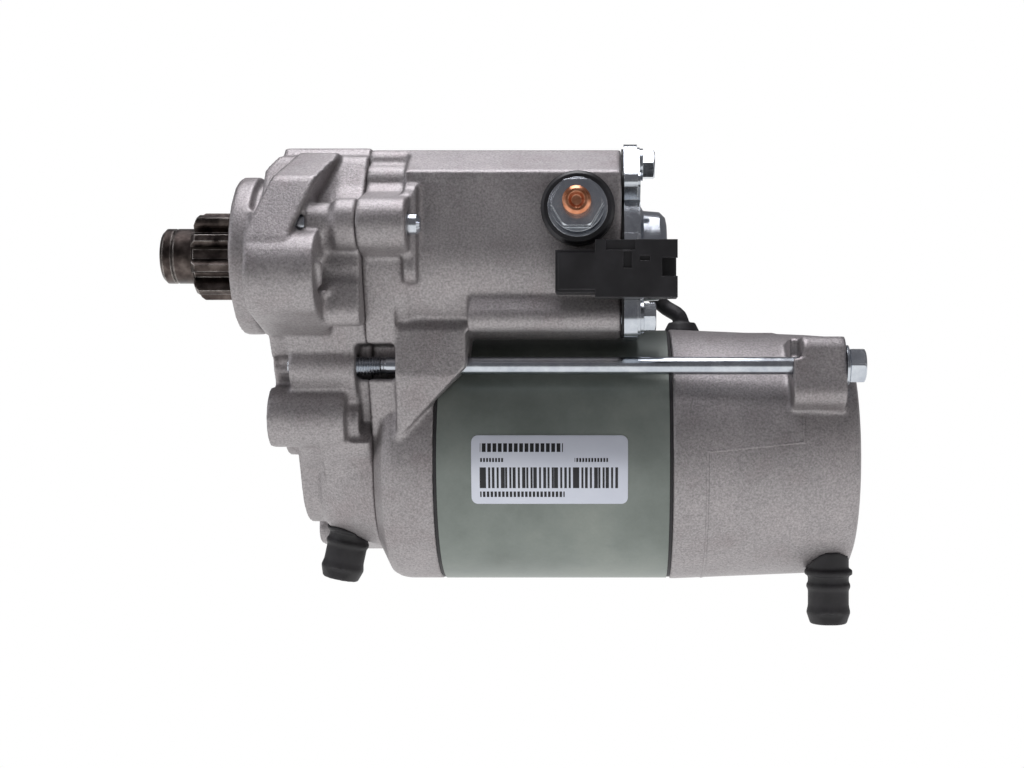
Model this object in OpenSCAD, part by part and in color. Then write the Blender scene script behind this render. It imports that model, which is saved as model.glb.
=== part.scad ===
// Offset gear-reduction starter motor: the motor turns an idler, the idler turns the clutch gear,
// and the switch plunger pushes the splined pinion shaft out through the mounting pilot.
// Millimetres, +Z up. Origin: centre of the pilot's front face, on the pinion axis; +X runs to the rear.

/* [Gear train] */
// Module of the reduction gears
gear_m = 1.5; // [1.25:0.05:1.8]
// Teeth on the armature gear
arm_teeth = 10; // [10:1:11]
// Teeth on the idler gear
idler_teeth = 26; // [25:1:28]
// Teeth on the clutch gear
clutch_teeth = 29; // [28:1:31]
// Face width of the clutch gear teeth
gear_face = 12; // [10:0.5:14]
// Lean of the motor axis away from straight below the pinion axis, degrees
axis_lean = 24.37; // [20:0.5:28]

/* [Pinion] */
// Outside diameter of the drive pinion
pinion_od = 26.8; // [24:0.2:27.6]
// Module of the drive pinion
pinion_m = 2.54; // [2.3:0.02:2.6]
// Teeth on the drive pinion
pinion_teeth = 9; // [9:1:10]
// Length of the drive pinion
pinion_len = 21; // [18:0.5:24]
// Diameter of the stop collars on the shaft nose
collar_d = 16.8; // [16:0.1:17.4]
// Diameter of the pinion shaft
pinion_shaft_d = 13; // [12:0.1:13.6]
// Pinion and plunger travel
stroke = 10; // [8:0.5:11]

/* [Mounting] */
// Pilot diameter
pilot_d = 48; // [46:0.5:56]
// Pilot length
pilot_len = 5.8; // [5:0.1:6.5]
// Upper ear hole: distance toward the near side
ear_y = 35; // [34:0.5:40]
// Upper ear hole: drop below the pinion axis
ear_drop = 7.6; // [5:0.5:10]
// Upper ear outer radius
ear_r = 12.2; // [10:0.2:14]
// Lower ear hole: distance toward the near side
low_ear_y = 5; // [4:0.5:8]
// Lower ear hole: drop below the pinion axis
low_ear_drop = 49.2; // [48:0.5:54]
// Lower ear boss radius
low_ear_r = 9.15; // [8:0.1:9.5]
// Mounting bolt thread diameter, both ears
mount_bolt_d = 10.2; // [8:0.1:12]

/* [Cases] */
// Drive housing length
drive_len = 39.6; // [38:0.1:48]
// Switch housing length
switch_len = 75.6; // [74:0.1:92]
// Switch housing outside radius
switch_r = 25.5; // [24.5:0.5:30]
// Switch housing wall
switch_wall = 3; // [2.5:0.1:4]
// Drive housing wall beside the gears
drive_wall = 2.55; // [2:0.05:4]
// Depth of the motor bell on the switch housing
bell_len = 19.1; // [18:0.1:22]
// Yoke outside diameter
yoke_d = 80; // [66:0.1:82]
// Yoke length
yoke_len = 72.1; // [66:0.1:88]
// Yoke wall
yoke_wall = 4.6; // [3.8:0.1:5.5]
// Rear end frame length
end_len = 57.5; // [55:0.5:69]
// Rear end frame wall
end_wall = 4; // [3:0.1:5]
// Thickness of the seal rings
seal_t = 1; // [0.8:0.1:1.4]

/* [Fasteners] */
// Through bolt thread diameter
through_d = 6; // [5:0.5:7]
// Through bolt axis outside the yoke
through_out = 5.7; // [5.2:0.1:8]
// Through bolt angle above the near side of the motor axis, degrees
through_a = 38; // [36:0.5:40]
// Cover bolt circle radius
cover_bolt_r = 28; // [27:0.2:33]
// Cover bolt thread diameter
cover_bolt_d = 5; // [4:0.5:6]
// Housing screw thread diameter
housing_screw_d = 6; // [5:0.5:6.5]
// Battery stud diameter
stud_d = 8; // [6:0.5:8.5]
// Battery stud length outside the housing
stud_len = 26; // [24:0.5:32]

/* [Fits] */
// Running clearance of turning and sliding round parts, radial
run_fit = 0.06; // [0.03:0.01:0.1]
// Free clearance between parts that must not touch
gap = 0.5; // [0.4:0.05:0.7]
// Backlash taken off each gear tooth
tooth_slack = 0.12; // [0.08:0.01:0.2]

/* [Hidden] */
$fn = 64;

STEEL = [0.62, 0.63, 0.65]; DARK = [0.22, 0.2, 0.19]; CAST = [0.64, 0.62, 0.63]; ZINC = [0.75, 0.78, 0.82];
COPPER = [0.72, 0.42, 0.28]; BLACK = [0.1, 0.1, 0.11]; GREEN = [0.4, 0.43, 0.4]; PAPER = [0.8, 0.8, 0.83];

// gear sizes
PA = 25; STUB = 0.8; ROOT = 1.05;
arm_rp = gear_m * arm_teeth / 2; idler_rp = gear_m * idler_teeth / 2; clutch_rp = gear_m * clutch_teeth / 2;
d_arm = arm_rp + idler_rp; d_clutch = idler_rp + clutch_rp;
centre = (d_arm + d_clutch) * 0.9941;
my = centre * sin(axis_lean); mz = -centre * cos(axis_lean);
to_motor = atan2(mz, my);
swing = acos((d_clutch * d_clutch + centre * centre - d_arm * d_arm) / (2 * d_clutch * centre));
to_idler = to_motor + swing;
iy = d_clutch * cos(to_idler); iz = d_clutch * sin(to_idler);
arm_to_idler = atan2(iz - mz, iy - my);
arm_phase = 0;
idler_phase = arm_to_idler + 180 - 180 / idler_teeth + (arm_to_idler - arm_phase) * arm_teeth / idler_teeth;
clutch_phase = to_idler + 360 - 180 / clutch_teeth
  + (to_idler + 180 - idler_phase) * idler_teeth / clutch_teeth;
clutch_tip = clutch_rp + STUB * gear_m; idler_tip = idler_rp + STUB * gear_m;

// stations along X
x_seam = drive_len;
x_cover = x_seam + switch_len;
x_yoke = x_seam + bell_len;
x_end = x_yoke + yoke_len;
x_rear = x_end + end_len;
x_gear = x_seam - 6 - gear_face;      // front of the clutch gear teeth
yoke_r = yoke_d / 2;
clutch_case = clutch_tip + 2 * gap - 0.1;
drive_r = clutch_case + drive_wall;

// through bolt axes
bolt_way = [-cos(through_a), sin(through_a)];
idler_at = [iy - my, iz - mz];
bolt_gap = idler_tip + gap + 1.5 + through_d / 2;
along = idler_at * bolt_way;
past_idler = along + sqrt(max(pow(bolt_gap, 2) - idler_at * idler_at + pow(along, 2), 0));
through_r = max(yoke_r + through_out, past_idler);   // far enough out to clear the idler gear
tb_y = through_r * cos(through_a); tb_z = through_r * sin(through_a);
TB = [[my - tb_y, mz + tb_z], [my + tb_y, mz - tb_z]];
lug_x = x_end + 36; lug_len = 16;
boss_end = x_seam - 3.9;                // rear of the bolts' threaded bosses
lead_foot = [x_end + 5, my + 12, mz + sqrt(pow(yoke_r + 0.2, 2) - 36) - 1.1];

// bearings
cb_ri = 12.5; cb_ro = 18.5; cb_w = 7;
cb_x1 = 8; cb_x2 = x_seam + 0.9;
mb_ri = 6; mb_ro = 16; mb_w = 10;
mb_x1 = x_seam + 4; mb_x2 = x_rear - 16.3;

// switch stations
core_x = x_seam + 10.4; bobbin_x = core_x + 10; core_face = bobbin_x + 4.5;
plunger_x = core_face + stroke + gap; plunger_r = 10.5;
contact_face = x_cover - 23.2;
plate_x = contact_face + stroke + gap - 0.2; plate_t = 2.5; plate_r = 17;
bobbin_end = contact_face - 4.5;
stud_x = x_cover - 12.7; stud_z = 11.5;
base_top = 6.6; nut_top = 19.7;         // heights of the insulating collar and the nuts on the stud
shank_r = stud_d / 2 - 0.25;            // stud under its nuts
switch_in = switch_r - switch_wall;

// housing screws and cover bolts, as [y, z]
screw_r = drive_r + 5.9;
SCREWS = [[-screw_r * cos(12), screw_r * sin(12), 25, 4.8],
  [(drive_r + 1.6) * cos(76), (drive_r + 1.6) * sin(76), 16.5, 4.4]];
COVER_A = [104, -136, -16];             // bolt angles from +Y
function polar(r, a) = [r * cos(a), r * sin(a)];
function mix(a, b, t) = a + (b - a) * t;
ear = [-ear_y, -ear_drop]; low_ear = [-low_ear_y, -low_ear_drop];

module at_x(x, y = 0, z = 0) translate([x, y, z]) rotate([90, 0, 90]) children();
module xcyl(x0, x1, r, y = 0, z = 0) at_x(x0, y, z) cylinder(h = x1 - x0, r = r);
module xcone(x0, x1, ra, rb, y = 0, z = 0) at_x(x0, y, z) cylinder(h = x1 - x0, r1 = ra, r2 = rb);
module xtube(x0, x1, ro, ri, y = 0, z = 0)
  difference() { xcyl(x0, x1, ro, y, z); xcyl(x0 - 1, x1 + 1, ri, y, z); }
module xhex(x0, x1, af, y = 0, z = 0) at_x(x0, y, z) cylinder(h = x1 - x0, r = af / sqrt(3), $fn = 6);
// hex head with its corners turned off
module xhead(x0, x1, af, y = 0, z = 0, rear = true)
  intersection() {
    xhex(x0, x1, af, y, z);
    if (rear) xcone(x0 - 1, x1, af * 0.57 + (x1 - x0 + 1) * 1.6, af * 0.47, y, z);
    else xcone(x0, x1 + 1, af * 0.47, af * 0.57 + (x1 - x0 + 1) * 1.6, y, z);
  }
module on_motor() translate([0, my, mz]) children();
module at_cover_bolts()
  for (a = COVER_A) let (p = polar(cover_bolt_r, a)) translate([0, p[0], p[1]]) children();
module on_idler() translate([0, iy, iz]) children();
// solid of revolution about X through (y, z); points are [x, r]
module spun(points, y = 0, z = 0)
  translate([0, y, z]) rotate([0, 90, 0]) rotate_extrude() polygon([for (p = points) [p[1], p[0]]]);
// convex outline round circles [y, z, r] listed in order round it, swept along X
function turn(list) = let (n = len(list), s = [for (i = [0 : n - 1])
  let (p = list[i], q = list[(i + 1) % n])
  p[0] * q[1] - q[0] * p[1]]) s * [for (i = s) 1] >= 0 ? list : [for (i = [n - 1 : -1 : 0]) list[i]];
function tangent(p, q) = let (d = [q[0] - p[0], q[1] - p[1]]) atan2(d[1],
  d[0]) - acos((p[2] - q[2]) / norm(d));
function wrapped(list, step = 12) = let (n = len(list), t = [for (i = [0 : n - 1])
  tangent(list[i], list[(i + 1) % n])])
  [for (i = [0 : n - 1]) let (c = list[i], a = t[(i + n - 1) % n], da = (t[i] - a + 720) % 360,
    k = ceil(da / step))
    for (j = [0 : k]) [c[0] + c[2] * cos(a + da * j / k), c[1] + c[2] * sin(a + da * j / k)]];
module wrap(x0, x1, ring) at_x(x0) linear_extrude(x1 - x0) polygon(wrapped(turn(ring)));
module ngon_x(x0, x1, points) at_x(x0) linear_extrude(x1 - x0) polygon(points);
module slab(a, b) translate(a) cube(b - a);
// ring sector about the motor axis, from angle a0 over da, measured from +Y toward +Z
module sector(x0, x1, ri, ro, a0, da)
  at_x(0) rotate([0, 0, a0]) rotate_extrude(angle = da) polygon([[ri, x0], [ro, x0], [ro, x1], [ri, x1]]);

// ---- gear teeth ----
function flank(r, rb) = let (t = sqrt(max(r * r / (rb * rb) - 1, 0))) t * 180 / PI - atan(t);
function gear_points(z, m, pa, ra, rf, thin) =
  let (rp = m * z / 2, rb = rp * cos(pa), rs = max(rb, rf + 0.02),
    hb = 90 / z - thin / 2 / rp * 180 / PI + flank(rp, rb), n = 4)
  [for (i = [0 : z - 1]) let (a = i * 360 / z) each concat(
    [polar(rf, a - hb)],
    [for (k = [0 : n]) let (r = mix(rs, ra, k / n)) polar(r, a - hb + flank(r, rb))],
    [for (k = [n : -1 : 0]) let (r = mix(rs, ra, k / n)) polar(r, a + hb - flank(r, rb))],
    [polar(rf, a + hb)])];
module gear_x(x0, x1, z, phase)
  at_x(x0) rotate([0, 0, phase]) linear_extrude(x1 - x0)
    polygon(gear_points(z, gear_m, PA, gear_m * (z / 2 + STUB), gear_m * (z / 2 - ROOT), tooth_slack));

// ---- coil spring along X: wire radius w, coil radius r ----
module spring(x0, x1, r, w, turns, seg = 18, side = 8) {
  n = turns * seg; h = x1 - x0 - 2 * w;
  pts = [for (i = [0 : n]) for (k = [0 : side - 1]) let (a = i * 360 / seg, b = k * 360 / side,
      f = i / n, q = r + w * cos(b)) [x0 + w + h * f + w * sin(b), q * cos(a), q * sin(a)]];
  polyhedron(points = pts, faces = concat(
    [[for (k = [0 : side - 1]) k]], [[for (k = [side - 1 : -1 : 0]) n * side + k]],
    [for (i = [0 : n - 1]) for (k = [0 : side - 1]) let (l = (k + 1) % side)
      [i * side + k, (i + 1) * side + k, (i + 1) * side + l, i * side + l]]), convexity = 10);
}

// ---- ball bearing parts ----
function ball_r(ri, ro) = 0.26 * (ro - ri);
module race(x, w, rm, br) at_x(x + w / 2) rotate_extrude() translate([rm, 0]) circle(r = br + 0.05);
module outer_ring(x, w, ri, ro) {
  rm = (ri + ro) / 2; br = ball_r(ri, ro);
  difference() { xtube(x, x + w, ro, rm + 0.55 * br); race(x, w, rm, br); }
}
module inner_ring(x, w, ri, ro) {
  rm = (ri + ro) / 2; br = ball_r(ri, ro);
  difference() { xtube(x, x + w, rm - 0.55 * br, ri); race(x, w, rm, br); }
}
module balls(x, w, ri, ro, n) {
  rm = (ri + ro) / 2;
  for (i = [0 : n - 1]) translate([x + w / 2, rm * cos(i * 360 / n), rm * sin(i * 360 / n)])
    sphere(r = ball_r(ri, ro));
}

// ======== cases ========
nose_outline = [[12.2, 0], [12.2, 5.4], [13.2, 7.5], [17, 13.2], [21, 22.4], [22.4, 24.2],
  [x_seam, min(30.4, yoke_r - 8)], [x_seam, 0]];
end_outline = [[x_end, 0], [x_end, yoke_r + 0.3], [x_end + 44, yoke_r - 1.5], [x_rear - 3.2, yoke_r - 2.2],
  [x_rear - 1.2, yoke_r - 3.4], [x_rear - 0.2, yoke_r - 6], [x_rear, yoke_r - 9], [x_rear, 0]];
// drain necks: place, lean and length; the rubber tubes push over them
neck_r = 4.8; neck_bore = 3.2;
DRAINS = [[[29.6, my - 4, mz - 18], 12, 12], [[x_rear - 8, my - 18, mz - 28], 0, 12]];
module neck(d, r, grow = 0) translate(d[0]) rotate([0, d[1], 0]) translate([0, 0, -d[2] - grow])
  cylinder(h = d[2] + 2 * grow, r = r);

module gear_room(x1) {
  xcyl(x_gear - 2, x1, clutch_case);
  on_idler() xcyl(x_gear - 1.5, x1, idler_tip + gap);
  on_motor() xcyl(x_gear - 4, x1, gear_m * (arm_teeth / 2 + STUB) + 1.6);
}

// pocket that leaves the near through bolt open between its boss and the strap
module bolt_pocket()
  slab([boss_end, -45, TB[0][1] - 4], [x_seam + 8.5, TB[0][0] + 3.4, TB[0][1] + 6.5]);

module drive_housing() color(CAST) {
  nose = 7.4; lip = 14.1; top = drive_r + 6.3;
  difference() {
    union() {
      // pilot with its relief groove
      spun([[0, 14], [0, pilot_d / 2 - 0.4], [0.4, pilot_d / 2], [pilot_len, pilot_d / 2], [pilot_len,
        14]]);
      xcyl(pilot_len - 0.1, nose + 1, 21.6);
      // clutch room and the top rib with its leaning front
      spun([[6.4, 13], [6.4, 22.4], [9.5, drive_r - 1.6], [12.5, drive_r], [x_seam, drive_r], [x_seam,
        13]]);
      difference() {
        wrap(nose - 1, x_seam, [[-drive_r + 3, 5, 3], [9, 8, 3],
          [12, top - 5.5, 5], [4, top - 3.2, 3.2], [-9, drive_r - 2, 5]]);
        translate([nose - 0.6, -60, 21]) rotate([0, 34.8, 0]) translate([-40, 0, -30]) cube([40, 120, 90]);
      }
      wrap(nose + 5.5, x_seam, [[-5, 16, 4], [10, 16, 4], [10, top - 5, 5], [-3, top - 4, 4]]);
      // web from the clutch room down to the motor nose
      wrap(15.5, x_seam, [[my, mz, 22], [iy, iz, idler_tip + gap + drive_wall], [0, 0, drive_r - 0.6]]);
      wrap(9.5, 17, [[my - 8, mz + 12, 12], [8, -14, 14], [-6, -12, 13]]);
      // motor nose
      spun(nose_outline, my, mz);
      // upper ear, its gusset and the leaning band above it
      wrap(9.4, 29.1, [[ear[0], ear[1], ear_r], [-14, -15, 10], [-16, 4, 9]]);
      difference() {
        wrap(9, 31, [[ear[0] + 0.6, ear[1] + 5.4, ear_r - 2], [-20, -6, 8], [-12, 24, 6],
          [-drive_r - 5.4, 16.5, 4.4]]);
        translate([8.9, -80, 3]) rotate([0, 20.5, 0]) translate([-60, 0, -60]) cube([60, 160, 120]);
        translate([20.2, -80, -1]) rotate([0, 20.5, 0]) cube([60, 160, 80]);
      }
      // gusset from the ear to the seam
      wrap(22, x_seam, [[-25.5, -17, 5.5], [-18, -16, 5], [-18, 0, 6], [-26, -2, 4]]);
      // screw bosses
      for (s = SCREWS) {
        wrap(25, x_seam, [[s[0], s[1], 6.1], [s[0] * 0.55, s[1] * 0.55 - 4, 6], [s[0] * 0.55,
          s[1] * 0.55 + 4, 6]]);
      }
      xcyl(33, x_seam, 7.4, SCREWS[0][0], SCREWS[0][1]);
      // bosses of the through bolts
      wrap(15.7, boss_end, [[TB[0][0], TB[0][1], 6.5], [low_ear[0] + 9, low_ear[1] + 2, 7], [8, -30,
        8], [-4, -26, 6]]);
      wrap(15.7, boss_end, [[my + 14, mz - 25, 5.4], [TB[1][0], TB[1][1], 6.5], [my + 25, mz - 2, 8]]);
      // lower ear and its ribs
      xcyl(9.2, 32.3, low_ear_r, low_ear[0], low_ear[1]);
      wrap(17, 36, [[low_ear[0] + 2, low_ear[1] - 1, 6.2], [my - 8, mz - 4, 10], [6, -40, 8]]);
      ngon_x(24, x_seam, [[low_ear[0] - 4, low_ear[1] - 8], [my - 4, mz - 27], [my + 4, mz + 6],
        [low_ear[0] + 8, low_ear[1] + 4]]);
      // far boss below the nose and the drain neck
      xcyl(16.6, 30, 6.2, my + 9, mz - 15.5);
      neck(DRAINS[0], neck_r);
    }
    // pinion mouth, front bearing seat and the gear room
    xcyl(-1, cb_x1 - 0.9, pinion_od / 2 + 0.8);
    xcyl(cb_x1 - 1, cb_x1, cb_ri + gap + 0.6);
    xcyl(cb_x1, cb_x1 + cb_w, cb_ro);
    xcyl(cb_x1 + cb_w - 0.1, x_seam, cb_ro - 1.6);
    gear_room(x_seam + 1);
    // idler pin socket
    on_idler() xcyl(x_gear - 5, x_seam, 6);
    // relief slot behind the pilot
    difference() {
      xtube(pilot_len, pilot_len + 3.2, 40, 21.6);
      slab([0, -45, -45], [12, 45, 11.5]);
      slab([0, 3, -45], [12, 45, 45]);
    }
    // mounting threads
    xcyl(-1, 40, mount_bolt_d / 2, ear[0], ear[1]);
    xcone(28.1, 29.2, mount_bolt_d / 2, mount_bolt_d / 2 + 1.1, ear[0], ear[1]);
    xcyl(8, 26.5, mount_bolt_d / 2, low_ear[0], low_ear[1]);
    xcone(9.1, 10.2, mount_bolt_d / 2 + 1.1, mount_bolt_d / 2, low_ear[0], low_ear[1]);
    // screw head wells and clearance holes
    for (s = SCREWS) {
      xcyl(-1, s[2], s[3] + 0.8, s[0], s[1]);
      xcyl(s[2] - 1, x_seam + 1, housing_screw_d / 2, s[0], s[1]);
    }
    for (t = TB) xcyl(10, x_seam, through_d / 2, t[0], t[1]);
    bolt_pocket();
    // drain hole
    neck(DRAINS[0], neck_bore, 12);
  }
}

module switch_housing() color(CAST) {
  bell_r = yoke_r; rib = 4.4;
  difference() {
    union() {
      xcyl(x_seam, x_cover, switch_r);
      // ribs that carry the cover bolts
      for (a = COVER_A) let (p = polar(cover_bolt_r, a), q = polar(switch_r - 6, a))
        wrap(x_seam + (a == COVER_A[0] ? 0 : 30.5), x_cover, [[p[0], p[1], rib], [q[0], q[1], 7.5]]);
      // flat top pad between the upper ribs, and the screw pad
      wrap(x_seam + 12, x_cover, [[-6.8, 27.2, rib], [-switch_r + 1.8, 22, 1.4], [-switch_r + 3, 3, 2.9],
        [14, 12, 6], [12, 23, 4]]);
      wrap(x_seam, x_seam + 14.2, [[-11, 20.4, 6], [-6, 10, 6], [14, 12, 6],
        [SCREWS[1][0], SCREWS[1][1], 5.6]]);
      // gear room floor: the flange that meets the drive housing
      wrap(x_seam, x_seam + 8.8, [[my, mz, 29], [iy, iz, idler_tip + gap + drive_wall + 1], [0, 0,
        drive_r]]);
      xcyl(x_seam, x_seam + 12.4, drive_r);
      // near screw boss with its pad
      wrap(x_seam, x_seam + 14.2, [[SCREWS[0][0], SCREWS[0][1], 7.6], [-18, SCREWS[0][1] - 5, 6],
        [-18, SCREWS[0][1] + 5, 6]]);
      wrap(x_seam + 12, x_seam + 16.2, [[-24.4, 14.5, 4.6], [-24.4, -5.5, 4.6]]);
      // motor bell
      spun([[x_seam, 0], [x_seam, min(31.5, bell_r - 7)], [x_seam + 3.4, bell_r - 1.8], [x_seam + 6,
        bell_r - 0.4],
        [x_seam + 8.6, bell_r], [x_yoke, bell_r], [x_yoke, 0]], my, mz);
      wrap(x_seam + 4, x_yoke, [[my - 12, mz + 22, 14], [0, 0, switch_r - 4], [my + 2, mz + 26, 12]]);
      // strap that guides the near through bolt
      difference() {
        ngon_x(x_seam + 8.4, x_seam + 29.6, [[-12, -19.2], [-16.2, -20], [-18, -23], [-18, -37],
          [my - yoke_r + 0.4, mz + 5], [my - 20, mz + 4], [my - 20, mz + 32], [4, -19.2]]);
        translate([x_seam + 29.2, -60, -34.2]) rotate([0, 43.7, 0]) translate([0, 0, -40])
          cube([40, 120, 80]);
      }
      // far guide of the other through bolt
      difference() {
        wrap(x_seam + 3, x_seam + 22, [[TB[1][0], TB[1][1], 6.5], [my + 22, mz - 2, 8], [my + 14,
          mz - 22, 8]]);
        xcyl(x_yoke, x_yoke + 12, yoke_r + 0.4, my, mz);
      }
      // far side motor terminal boss
      translate([stud_x, switch_r - 8, stud_z]) rotate([-90, 0, 0]) cylinder(h = 10, r = 8.5);
    }
    // bearing seat, shaft way and switch room
    xcyl(x_seam - 1, cb_x2, cb_ro - 1.6);
    xcyl(cb_x2, cb_x2 + cb_w, cb_ro);
    xcyl(cb_x2 + cb_w - 0.1, core_x + 1, cb_ri + 1);
    xcyl(core_x, x_cover + 1, switch_in);
    on_idler() xcyl(x_seam - 1, x_seam + 4, 6);
    // armature bearing seat and the motor side of the bell
    on_motor() {
      xcyl(x_seam - 1, mb_x1 + 1, 7.5);
      xcyl(mb_x1, mb_x1 + mb_w, mb_ro);
      spun([[mb_x1 + mb_w, 0], [mb_x1 + mb_w, 22], [x_yoke - 2, yoke_r - yoke_wall - 1], [x_yoke + 1,
        yoke_r - yoke_wall - 1],
        [x_yoke + 1, 0]]);
      xcyl(x_yoke, x_yoke + 13, yoke_r + 0.4);
    }
    // yoke clearance under the switch room
    for (t = TB) xcyl(x_seam - 1, x_seam + 40, through_d / 2 + 0.4, t[0], t[1]);
    bolt_pocket();
    for (s = SCREWS) xcyl(x_seam - 1, x_seam + 21, housing_screw_d / 2, s[0], s[1]);
    at_cover_bolts() xcyl(x_cover - 15, x_cover + 1, cover_bolt_d / 2);
    // battery and motor terminals, connector blade
    translate([stud_x, -switch_r - 8, stud_z]) rotate([-90, 0, 0]) cylinder(h = 20, r = 6.4);
    translate([stud_x, switch_r - 10, stud_z]) rotate([-90, 0, 0]) cylinder(h = 20, r = 4.6);
    slab([stud_x - 3, -switch_r - 2, -11], [stud_x + 3, -14, -5]);
  }
}

module cover_outline(x0, x1, r0, ear_ro)
  at_x(x0) linear_extrude(x1 - x0) {
    circle(r = r0);
    polygon(wrapped(turn([[-switch_r + 3.4, 20.4, 3 + r0 - switch_r], [-switch_r + 4, 3, 4 + r0 - switch_r],
      [-6.8, 27.2, ear_ro - 1.6], [0, 6, 8]])));
    for (a = COVER_A) rotate(a) {
      c = cover_bolt_r; k = acos((r0 - ear_ro) / c);
      polygon([polar(r0, k), [c + ear_ro * cos(k), ear_ro * sin(k)],
        [c + ear_ro * cos(k), -ear_ro * sin(k)], polar(r0, -k), [0, 0]]);
      translate([c, 0]) circle(r = ear_ro);
    }
  }

gasket_t = 0.7; cover_t = 5.5; ear_ro = 6.1;
module switch_cover() color(ZINC) difference() {
  union() {
    cover_outline(x_cover + gasket_t, x_cover + cover_t - 0.8, switch_r + 0.6, ear_ro);
    cover_outline(x_cover + cover_t - 0.9, x_cover + cover_t, switch_r - 0.3, ear_ro - 0.9);
    spun([[x_cover + 2, 12.4], [x_cover + cover_t, 16], [x_cover + cover_t + 1.2, 13.9], [x_cover
      + 11.6, 13.5],
      [x_cover + 13.4, 11.8], [x_cover + 13.8, 10], [x_cover + 13.8, 0], [x_cover + 2, 0]]);
  }
  xcyl(x_cover, x_cover + 3.2, switch_in);
  xcyl(x_cover, x_cover + 11.8, 11.6);
  at_cover_bolts() xcyl(x_cover, x_cover + 8, cover_bolt_d / 2 + 0.3);
}
module cover_gasket() color(BLACK) difference() {
  cover_outline(x_cover, x_cover + gasket_t, switch_r - 0.4, ear_ro - 1.4);
  xcyl(x_cover - 1, x_cover + 2, switch_in);
  at_cover_bolts() xcyl(x_cover - 1, x_cover + 8, cover_bolt_d / 2 + 0.3);
}
washer_t = 1;
module bolt_washers() color(ZINC) {
  at_cover_bolts() xtube(x_cover + cover_t, x_cover + cover_t + washer_t, cover_bolt_d - 0.1,
    cover_bolt_d / 2 + 0.2);
  for (t = TB) xtube(lug_x + lug_len, lug_x + lug_len + 0.8, through_d + 0.2, through_d / 2 + 0.2,
    t[0], t[1]);
}
module cover_bolts() color(ZINC)
  at_cover_bolts() let (x = x_cover + cover_t + washer_t) {
    xcyl(x - 19, x + 1, cover_bolt_d / 2);
    xhead(x, x + 3.6, cover_bolt_d * 1.6);
  }
module housing_screws() color(ZINC)
  for (s = SCREWS) {
    tip = s == SCREWS[0] ? x_seam + 17.7 : x_seam + 13;
    xcyl(s[2] - 1, tip - 1, housing_screw_d / 2, s[0], s[1]);
    xcone(tip - 1, tip, housing_screw_d / 2, housing_screw_d / 2 - 0.9, s[0], s[1]);
    difference() {
      xcyl(s[2] - 4.8, s[2], s[3], s[0], s[1]);
      xhex(s[2] - 6, s[2] - 2.4, 5, s[0], s[1]);
    }
  }

// ======== motor ========
module yoke() color(GREEN)
  on_motor() xtube(x_yoke + seal_t, x_end - seal_t, yoke_r, yoke_r - yoke_wall);
module seal_rings() color(BLACK) on_motor()
  for (x = [x_yoke, x_end - seal_t]) xtube(x, x + seal_t, yoke_r - 0.3, yoke_r - yoke_wall + 0.3);

pole_x0 = x_yoke + 15; pole_x1 = x_end - 12;
core_r = yoke_r - 15.6;
shoe_r = core_r + 0.8;
function arc(r, a, b, n = 8) = [for (i = [0 : n]) polar(r, a + (b - a) * i / n)];
module pole_cores() color(STEEL) on_motor()
  for (a = [45 : 90 : 315]) at_x(pole_x0) rotate([0, 0, a]) linear_extrude(pole_x1 - pole_x0)
    polygon(concat(arc(yoke_r - yoke_wall, -16, 16), arc(shoe_r + 3, 16, 33, 4), arc(shoe_r / cos(4.2),
      33, -33),
      arc(shoe_r + 3, -33, -16, 4)));
module field_coils() color(COPPER) on_motor()
  for (a = [45 : 90 : 315]) difference() {
    sector(pole_x0 - 6, pole_x1 + 6, shoe_r + 3.3, yoke_r - yoke_wall - 0.6, a - 32, 64);
    sector(pole_x0 - 0.2, pole_x1 + 0.2, shoe_r + 2, yoke_r, a - 16.5, 33);
  }

com_x0 = x_end + 9; com_x1 = com_x0 + 21; com_r = yoke_r * 0.375;
arm_x0 = pole_x0 - 1; arm_x1 = pole_x1 + 1;
module armature_shaft() color(STEEL) on_motor() {
  gear_x(x_gear - 1, x_seam - 3, arm_teeth, arm_phase);
  xcyl(x_gear - 2.4, x_seam + 1, gear_m * (arm_teeth / 2 - ROOT) - 0.05);
  xcyl(x_seam + 0.9, mb_x1 + mb_w, mb_ri);
  xcyl(mb_x1 + mb_w, mb_x2, 7.5);
  xcyl(mb_x2, mb_x2 + mb_w, mb_ri);
  xcone(mb_x2 + mb_w, mb_x2 + mb_w + 1, mb_ri, mb_ri - 1);
}
slots = 19;
module armature_core() color(STEEL) on_motor() difference() {
  xtube(arm_x0, arm_x1, core_r, 7.5);
  for (i = [0 : slots - 1]) rotate([i * 360 / slots, 0, 0]) slab([arm_x0 - 1, core_r - 8, -1.3],
    [arm_x1 + 1, core_r + 1, 1.3]);
}
module armature_windings() color(COPPER) on_motor() {
  for (i = [0 : slots - 1]) rotate([i * 360 / slots, 0, 0])
    slab([arm_x0 - 1, core_r - 7.9, -1.2], [arm_x1 + 1, core_r - 1.2, 1.2]);
  spun([[arm_x0 - 9, 10], [arm_x0 - 9, core_r - 7.4], [arm_x0 - 7, core_r - 4], [arm_x0 - 0.1, core_r - 1],
    [arm_x0 - 0.1, 10]]);
  spun([[arm_x1 + 0.1, 10], [arm_x1 + 0.1, core_r - 1], [arm_x1 + 8, com_r + 4], [com_x0 + 0.6, com_r
    + 1.6],
    [com_x0 + 0.6, com_r + 0.1], [com_x0 - 0.8, com_r + 0.1], [com_x0 - 0.8, 10]]);
}
com_bars = 19;
module commutator_bars() color(COPPER) on_motor()
  for (i = [0 : com_bars - 1]) sector(com_x0, com_x1, com_r - 4, com_r, i * 360 / com_bars,
    360 / com_bars - 2.2);
module commutator_hub() color([0.35, 0.16, 0.1]) on_motor() xtube(com_x0 - 0.6, com_x1 + 0.6,
  com_r - 4, 7.5);

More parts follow.
